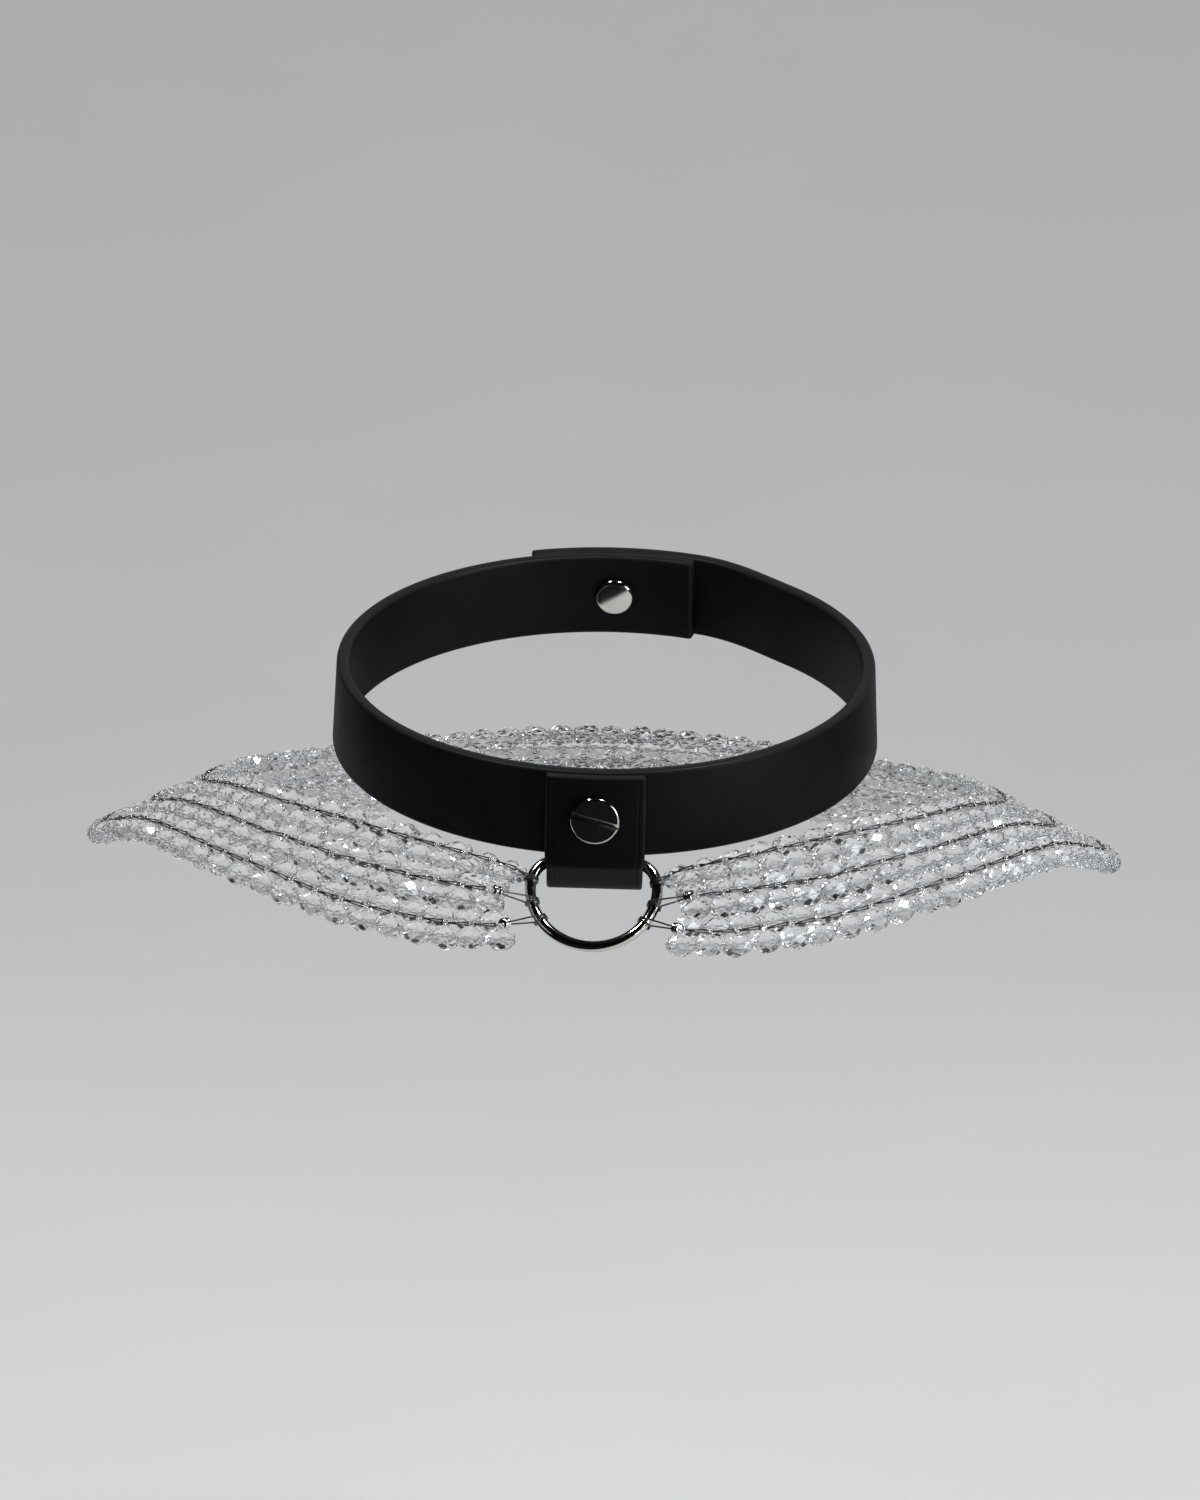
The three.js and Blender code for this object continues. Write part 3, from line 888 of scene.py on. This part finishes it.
def grind(direction, depth):
    """Cuts all of the mesh in edit mode with a plane, and fills the cut."""
    bpy.ops.mesh.select_all(action="SELECT")
    bpy.ops.mesh.bisect(
        plane_co=direction * depth, plane_no=direction, use_fill=True, clear_outer=True
    )


pick()
bpy.ops.mesh.primitive_cube_add(size=3)
bead = bpy.context.object
edit(bead)
for way in (1, -1):
    grind(Vector((way, 0, 0)), CUT["end"])
    for band, latitude in enumerate(CUT["bands"]):
        tilt = math.radians(latitude)
        for facet in range(CUT["facets"]):
            turn = 2 * math.pi * (facet + 0.5 * (band + (way > 0))) / CUT["facets"]
            outward = Vector((0, math.cos(turn), math.sin(turn)))
            grind(Vector((way * math.sin(tilt), 0, 0)) + outward * math.cos(tilt), 1.0)
bpy.ops.mesh.select_all(action="SELECT")
bpy.ops.mesh.remove_doubles(threshold=1e-4)
bpy.ops.mesh.normals_make_consistent(inside=False)
leave()
widest = max(math.hypot(corner.co.y, corner.co.z) for corner in bead.data.vertices)
longest = max(corner.co.x for corner in bead.data.vertices)
bead.scale = (BEAD["half_length"] / longest, BEAD["radius"] / widest, BEAD["radius"] / widest)
bpy.ops.object.transform_apply(location=True, rotation=True, scale=True)
print("bead with", len(bead.data.polygons), "facets,", [round(x / MM, 2) for x in bead.dimensions])

# %% [markdown]
# ## The rows of beads
#
# Each strand has a row of beads on each side of its chain. No bead sits exactly like the next:
# each is turned on its thread, leans a little and varies in size. The numbers come from a
# generator with a fixed seed, so the same beads lie the same way each time. A thread runs
# through each row, and its ends gather at the strand's tie.

# %% Strands, ties and rows
# place: inner, middle or outer; bow: how far down the ring's bow it is tied, in degrees; start:
# the azimuth where its chain starts; rise and drift: how much higher and farther out the chain
# starts, over the first beads; reach: how far its tie may reach from the ring
COLUMNS = ("name", "place", "bow", "start", "rise", "drift", "reach", "crimped")
STRANDS = [
    dict(zip(COLUMNS, row))
    for row in (
        (1, -1, -8, 18, 0, 0, 3.6 * MM, False),
        (2, 0, 14, 18.6, 2 * MM, 1.8 * MM, 20 * MM, True),
        (3, 1, 33, 14.6, 2 * MM, 2.2 * MM, 20 * MM, True),
    )
]
# strand, side of its chain, and where the row starts
ROWS = [(0, -1, 16.2), (0, 1, 17.2), (1, -1, 16.4), (1, 1, 16.4), (2, -1, 14.2), (2, 1, 12.3)]
ROW_SPACING = 5.2 * MM
# the chain: its own radius, how high it lies, and the azimuth from which it lies in its groove
CHAIN_RADIUS, CHAIN_LIFT, CHAIN_SETTLED = 0.6 * MM, 2.1 * MM, 28
down_bow = np.array([0, -math.sin(RING_LEAN), -math.cos(RING_LEAN)])
bow_centre = np.array(BAR) + down_bow * RING["shoulder"]


def chain_line(strand):
    """The line of a strand's chain, which settles between its rows, and the way out along it."""

    def offset(azimuth):
        start = 1 - smooth_step(abs(azimuth), strand["start"], CHAIN_SETTLED)
        return strand["drift"] * start, CHAIN_LIFT + strand["rise"] * start

    return line(strand["place"], strand["start"], offset)


def tie_point(strand, side):
    """The point of the ring's wire where a strand is tied, and the wire's direction there."""
    angle = math.radians(strand["bow"])
    sideways = np.array([side, 0.0, 0.0])
    point = bow_centre + RING["bow"] * (sideways * math.cos(angle) + down_bow * math.sin(angle))
    return point, down_bow * math.cos(angle) - sideways * math.sin(angle)


def tie_run(strand, side):
    """From the ring's wire to the end of the tie."""
    start = chain_line(strand)[0][0 if side > 0 else -1]
    run = start - tie_point(strand, side)[0]
    return run * min(1.0, strand["reach"] / np.linalg.norm(run))


def unit(vector):
    return vector / np.linalg.norm(vector)


print("strands", [strand["name"] for strand in STRANDS], "with", len(ROWS), "rows")

# %% Thread the rows
LOOSE = {"spin": math.pi, "lean": math.radians(5), "shift": 0.12 * MM, "growth": 0.03}
THREAD = 0.22 * MM
chance = random.Random(11)


def jostled(place):
    """A place with its own turn, lean, shift and size."""
    turn = Matrix.Rotation(chance.uniform(-LOOSE["spin"], LOOSE["spin"]), 4, "X")
    tilt = Matrix.Rotation(chance.gauss(0, LOOSE["lean"]), 4, "Y")
    tilt = tilt @ Matrix.Rotation(chance.gauss(0, LOOSE["lean"]), 4, "Z")
    shift = Matrix.Translation([chance.gauss(0, LOOSE["shift"]) for _ in range(3)])
    size = Matrix.Scale(1 + chance.uniform(-LOOSE["growth"], LOOSE["growth"]), 4)
    return place @ shift @ tilt @ turn @ size


bead_count = 0
for number, (index, side, start) in enumerate(ROWS, 1):
    strand = STRANDS[index]
    points, aways = line(strand["place"], start, lambda azimuth: (side * ROW_SPACING / 2, 0.0))
    places = [jostled(place) for place in stops(points, aways, BEAD["pitch"])]
    row = stamp(f"beads_{number}", bead, places)
    settle(row, f"beads_{number}", crystal_finish, [f"crystal_row_{number}"])
    first = tie_point(strand, 1)[0] + tie_run(strand, 1)
    last = tie_point(strand, -1)[0] + tie_run(strand, -1)
    thread = wire([first, *points[::3], last], THREAD, rounds=0)
    settle(thread, f"thread_{number}", nylon_finish, smooth=60)
    bead_count += len(places)
bpy.data.objects.remove(bead)
print("beads", bead_count)

# %% [markdown]
# ## The chains
#
# A fine chain lies in the groove between the two rows of each strand. For each bead it has one
# long link, painted dark as painted shade of the groove, and two small bright rings join that to
# the next. A link is a ring of wire pulled into an oval, so it is a torus whose two halves are
# moved apart in edit mode. A long one is also twisted by a quarter and pinched in its middle, so
# that it looks solid and dark from afar. The links really pass through each other.

# %% Bend the links
LONG = {"ring": 0.38 * MM, "wire": 0.22 * MM, "stretch": 2.0 * MM}
SHORT = {"ring": 0.46 * MM, "wire": 0.13 * MM, "stretch": 0.16 * MM}
PINCH = (1, 0.6, 0.9)


def bend_link(ring, wire, stretch, twist=0.0):
    """One oval link, with its ends moved out by the stretch and one of them twisted."""
    pick()
    bpy.ops.mesh.primitive_torus_add(
        major_radius=ring, minor_radius=wire, major_segments=12, minor_segments=5
    )
    link = bpy.context.object
    edit(link)
    for way in (1, -1):
        choose("VERT", lambda part: way * part.co.x > NEAR)
        bpy.ops.transform.translate(value=(way * stretch, 0, 0))
    if twist:
        bpy.ops.transform.rotate(value=twist, orient_axis="X", center_override=(0, 0, 0))
        choose("VERT", lambda part: abs(part.co.x) < NEAR)
        bpy.ops.transform.resize(value=PINCH)
    leave()
    return link


long_link, short_link = bend_link(**LONG, twist=math.pi / 2), bend_link(**SHORT)
long_reach, short_reach = (kind["ring"] + kind["stretch"] - kind["wire"] for kind in (LONG, SHORT))
link_pitch = 2 * long_reach + 4 * short_reach
print("links repeat every", round(link_pitch / MM, 2), "mm")

# %% Link the chains
# degrees: how much a link sways from the line, and how it rolls about it, with the spread
SWAY, ROLL, ROLL_SPREAD = 3, 45, 10
link_count = 0
for strand in STRANDS:
    number = strand["name"]
    points, aways = chain_line(strand)
    if not strand["crimped"]:
        ends = [tie_point(strand, way)[0] + tie_run(strand, way) for way in (1, -1)]
        points = np.array([ends[0], *points, ends[1]])
        aways = np.array([aways[0], *aways, aways[-1]])
    long_places, short_places = [], []
    for stop in stops(points, aways, link_pitch):
        swayed = stop @ Matrix.Rotation(chance.gauss(0, math.radians(SWAY)), 4, "Z")
        roll = math.radians(chance.gauss(ROLL, ROLL_SPREAD))
        long_places.append(swayed @ Matrix.Rotation(roll, 4, "X"))
        for way in (1, -1):
            beside = Matrix.Translation((way * (long_reach + short_reach), 0, 0))
            across = Matrix.Rotation(roll + way * math.pi / 4 + math.pi / 4, 4, "X")
            short_places.append(swayed @ beside @ across)
    # the long links take the metal painted dark as painted shade; the small rings stay bright
    # silver
    chain = stamp("long", long_link, long_places)
    settle(chain, f"links_{number}", gunmetal, [f"chain_{number}"], smooth=80)
    settle(stamp("short", short_link, short_places), f"rings_{number}", silver, smooth=80)
    link_count += len(long_places + short_places)
for link in (long_link, short_link):
    bpy.data.objects.remove(link)
print("links", link_count)

# %% [markdown]
# ## The ties
#
# Thin silver wire ties each strand to the ring. It is wound round the ring's wire and comes to a
# point at the chain, like a drop, and on two of the strands a small crimp closes the point. The
# drop is two arcs joined by straight runs, and the winding is a short coil beside it. The crimp
# is a short tube, pinched in its middle. A curve could be drawn by eye for each, but then the six
# of them would not match.

# %% Tie the strands to the ring
TIE = {"wire": 0.2 * MM, "coil": 0.22 * MM, "ease": 0.04 * MM, "tip": 0.35 * MM}
# the winding: its turns, and where it starts and how far it goes each turn, in wires
WINDING = {"turns": 1.6, "start": 1.5, "pitch": 2.4}
CRIMP = {"radius": 1.4 * MM, "length": 2.2 * MM, "waist": 0.6, "ends": 0.75, "edge": 0.2 * MM}
CRIMP_ROOM = CRIMP["length"] / 2 + CHAIN_RADIUS + GAP


def drop(strand, side):
    """A closed drop-shaped line round the ring's wire, its point, and the way to that."""
    point, along = tie_point(strand, side)
    run = tie_run(strand, side)
    room = CRIMP_ROOM if strand["crimped"] else TIE["tip"] + TIE["wire"]
    run = run - unit(run) * room
    slide = run @ along
    straight = run - along * slide
    length = np.linalg.norm(straight)
    forward = straight / length
    sideways = np.cross(along, forward)
    rounding = RING["wire"] + TIE["ease"] + TIE["wire"]
    lean = math.acos((rounding - TIE["tip"]) / length)
    flat = [
        (rounding * math.cos(t), rounding * math.sin(t))
        for t in np.linspace(lean, 2 * math.pi - lean, 21)
    ] + [
        (length + TIE["tip"] * math.cos(t), TIE["tip"] * math.sin(t))
        for t in np.linspace(-lean, lean, 7)
    ]
    line_points = [
        point + forward * x + sideways * y + along * slide * min(1.0, max(0.0, x / length))
        for x, y in flat
    ]
    return line_points, point + run, unit(run)


def crimp(centre, direction):
    """A short tube, pinched in its middle so that two ribs are left."""
    pick()
    bpy.ops.mesh.primitive_cylinder_add(vertices=20, radius=CRIMP["radius"], depth=CRIMP["length"])
    made = bpy.context.object
    edit(made)
    choose("EDGE", lambda part: abs(part.verts[0].co.z - part.verts[1].co.z) > MM)
    bpy.ops.mesh.subdivide(number_cuts=3)
    choose("VERT", lambda part: abs(part.co.z) < 0.1 * MM)
    bpy.ops.transform.resize(value=(CRIMP["waist"], CRIMP["waist"], 1))
    choose("VERT", lambda part: abs(part.co.z) > CRIMP["length"] / 2 - 0.1 * MM)
    bpy.ops.transform.resize(value=(CRIMP["ends"], CRIMP["ends"], 1))
    leave()
    break_edges(made, CRIMP["edge"], 20)
    turn = Vector((0, 0, 1)).rotation_difference(Vector(direction)).to_matrix().to_4x4()
    made.matrix_world = Matrix.Translation(centre) @ turn
    bpy.ops.object.transform_apply(location=True, rotation=True, scale=True)
    return made


def wrapping(strand, side):
    """A line that goes round the ring's wire, each turn beside the last."""
    point, along = tie_point(strand, side)
    out = unit(np.cross(along, tie_run(strand, side)))
    up = np.cross(along, out)
    radius = RING["wire"] + TIE["ease"] + TIE["coil"]
    return [
        point
        + radius * (out * math.cos(2 * math.pi * turn) + up * math.sin(2 * math.pi * turn))
        + along * TIE["wire"] * (WINDING["start"] + WINDING["pitch"] * turn)
        for turn in np.linspace(0, WINDING["turns"], 48)
    ]


for strand in STRANDS:
    for side, word in ((-1, "left"), (1, "right")):
        points, centre, direction = drop(strand, side)
        loop = wire(points, TIE["wire"], closed=True, rounds=1)
        turns = wire(wrapping(strand, side), TIE["coil"], rounds=1)
        name = f"{strand['name']}_{word}"
        tie, node = join([loop, turns]), f"wire_loop_{name}"
        # the ties' silver is painted dark as painted shade
        settle(tie, f"tie_{name}", painted_shade_ties, [node], smooth=50)
        if strand["crimped"]:
            settle(crimp(centre, direction), f"crimp_{name}", silver, smooth=50)

# %% [markdown]
# ## The floor and the black cloth
#
# The floor is a plain pale sweep: a plane whose far edge is pulled up into a wall, with a wide
# bevel where they meet, so that no horizon shows. It lies some way under the choker, which a
# neck would hold up. Polished metal in a pale room looks white, so black cloth stands round the
# front and over the top, behind the lamps, for the metal and leather to mirror. It is a tall
# drum whose back is cut away. A lane is cut from its floor too, slantwise under the choker, so
# that the leather on the right mirrors a little of the pale floor. The cloth is matt, so that it
# looks black along its face as well. Only reflections see it.

# %% Lay the floor
FLOOR = -0.24
SWEEP = {"size": 8, "forward": 0.8, "wall": 3, "curve": 2.4}
pick()
bpy.ops.mesh.primitive_plane_add(size=SWEEP["size"], location=(0, -SWEEP["forward"], FLOOR))
floor = bpy.context.object
bpy.ops.object.transform_apply(location=True)
edit(floor)
far = max(corner.co.y for corner in floor.data.vertices)
choose("EDGE", lambda part: middle(part).y > far - 0.01)
bpy.ops.mesh.extrude_region_move(TRANSFORM_OT_translate={"value": (0, 0, SWEEP["wall"])})
choose("EDGE", lambda part: (middle(part) - Vector((0, far, FLOOR))).length < 0.01)
bpy.ops.mesh.bevel(offset=SWEEP["curve"], segments=40, affect="EDGES")
leave()
bpy.ops.object.shade_smooth()
floor.name = "floor"
sweep = Paint("pale_sweep", Specular_IOR_Level=0.0)
cloud = sweep.grain(6, 3.0)
sweep.wear(
    Base_Color=sweep.blend(cloud, (0.62, 0.625, 0.63, 1), (0.58, 0.585, 0.59, 1)),
    Roughness=0.75 + 0.1 * cloud,
)
floor.data.materials.append(sweep.material)
print("floor", [round(x, 2) for x in floor.dimensions], "m")

# %% Hang the black cloth
CLOTH = {"radius": 2.6, "height": 2.4, "gap": 0.003}
# each cut: where it crosses the middle, and the direction across it
LANE = [(-0.22, Vector((1, 1, 0))), (0.45, Vector((0.7, 1, 0)))]
WALL_CUT = (2.0, Vector((0.2, 1, 0)))
pick()
cloth_middle = (0, 0, FLOOR + CLOTH["gap"] + CLOTH["height"] / 2)
bpy.ops.mesh.primitive_cylinder_add(
    vertices=64, radius=CLOTH["radius"], depth=CLOTH["height"], location=cloth_middle
)
cloth = bpy.context.object
bpy.ops.object.transform_apply(location=True)
edit(cloth)
for edge, across in LANE:
    choose("FACE", lambda part: part.normal.z < -0.9)
    bpy.ops.mesh.bisect(plane_co=(0, edge, 0), plane_no=across)


def in_lane(part):
    near, far = (middle(part) @ across - edge for edge, across in LANE)
    return part.normal.z < -0.9 and near > 0 > far


choose("FACE", in_lane)
bpy.ops.mesh.delete(type="FACE")
bpy.ops.mesh.select_all(action="SELECT")
bpy.ops.mesh.bisect(plane_co=(0, WALL_CUT[0], 0), plane_no=WALL_CUT[1], clear_outer=True)
leave()
cloth.name = "black_cloth"
black = Paint("black_cloth", Specular_IOR_Level=0.1)
weave = black.grain(300, 2.0)
black.wear(
    Base_Color=black.blend(weave, (0.004, 0.004, 0.004, 1), (0.008, 0.008, 0.008, 1)),
    Roughness=0.9 + 0.1 * weave,
)
cloth.data.materials.append(black.material)
for kind in ("camera", "diffuse", "transmission", "volume_scatter", "shadow"):
    setattr(cloth, f"visible_{kind}", False)
print("black cloth", [round(x, 2) for x in cloth.dimensions], "m")
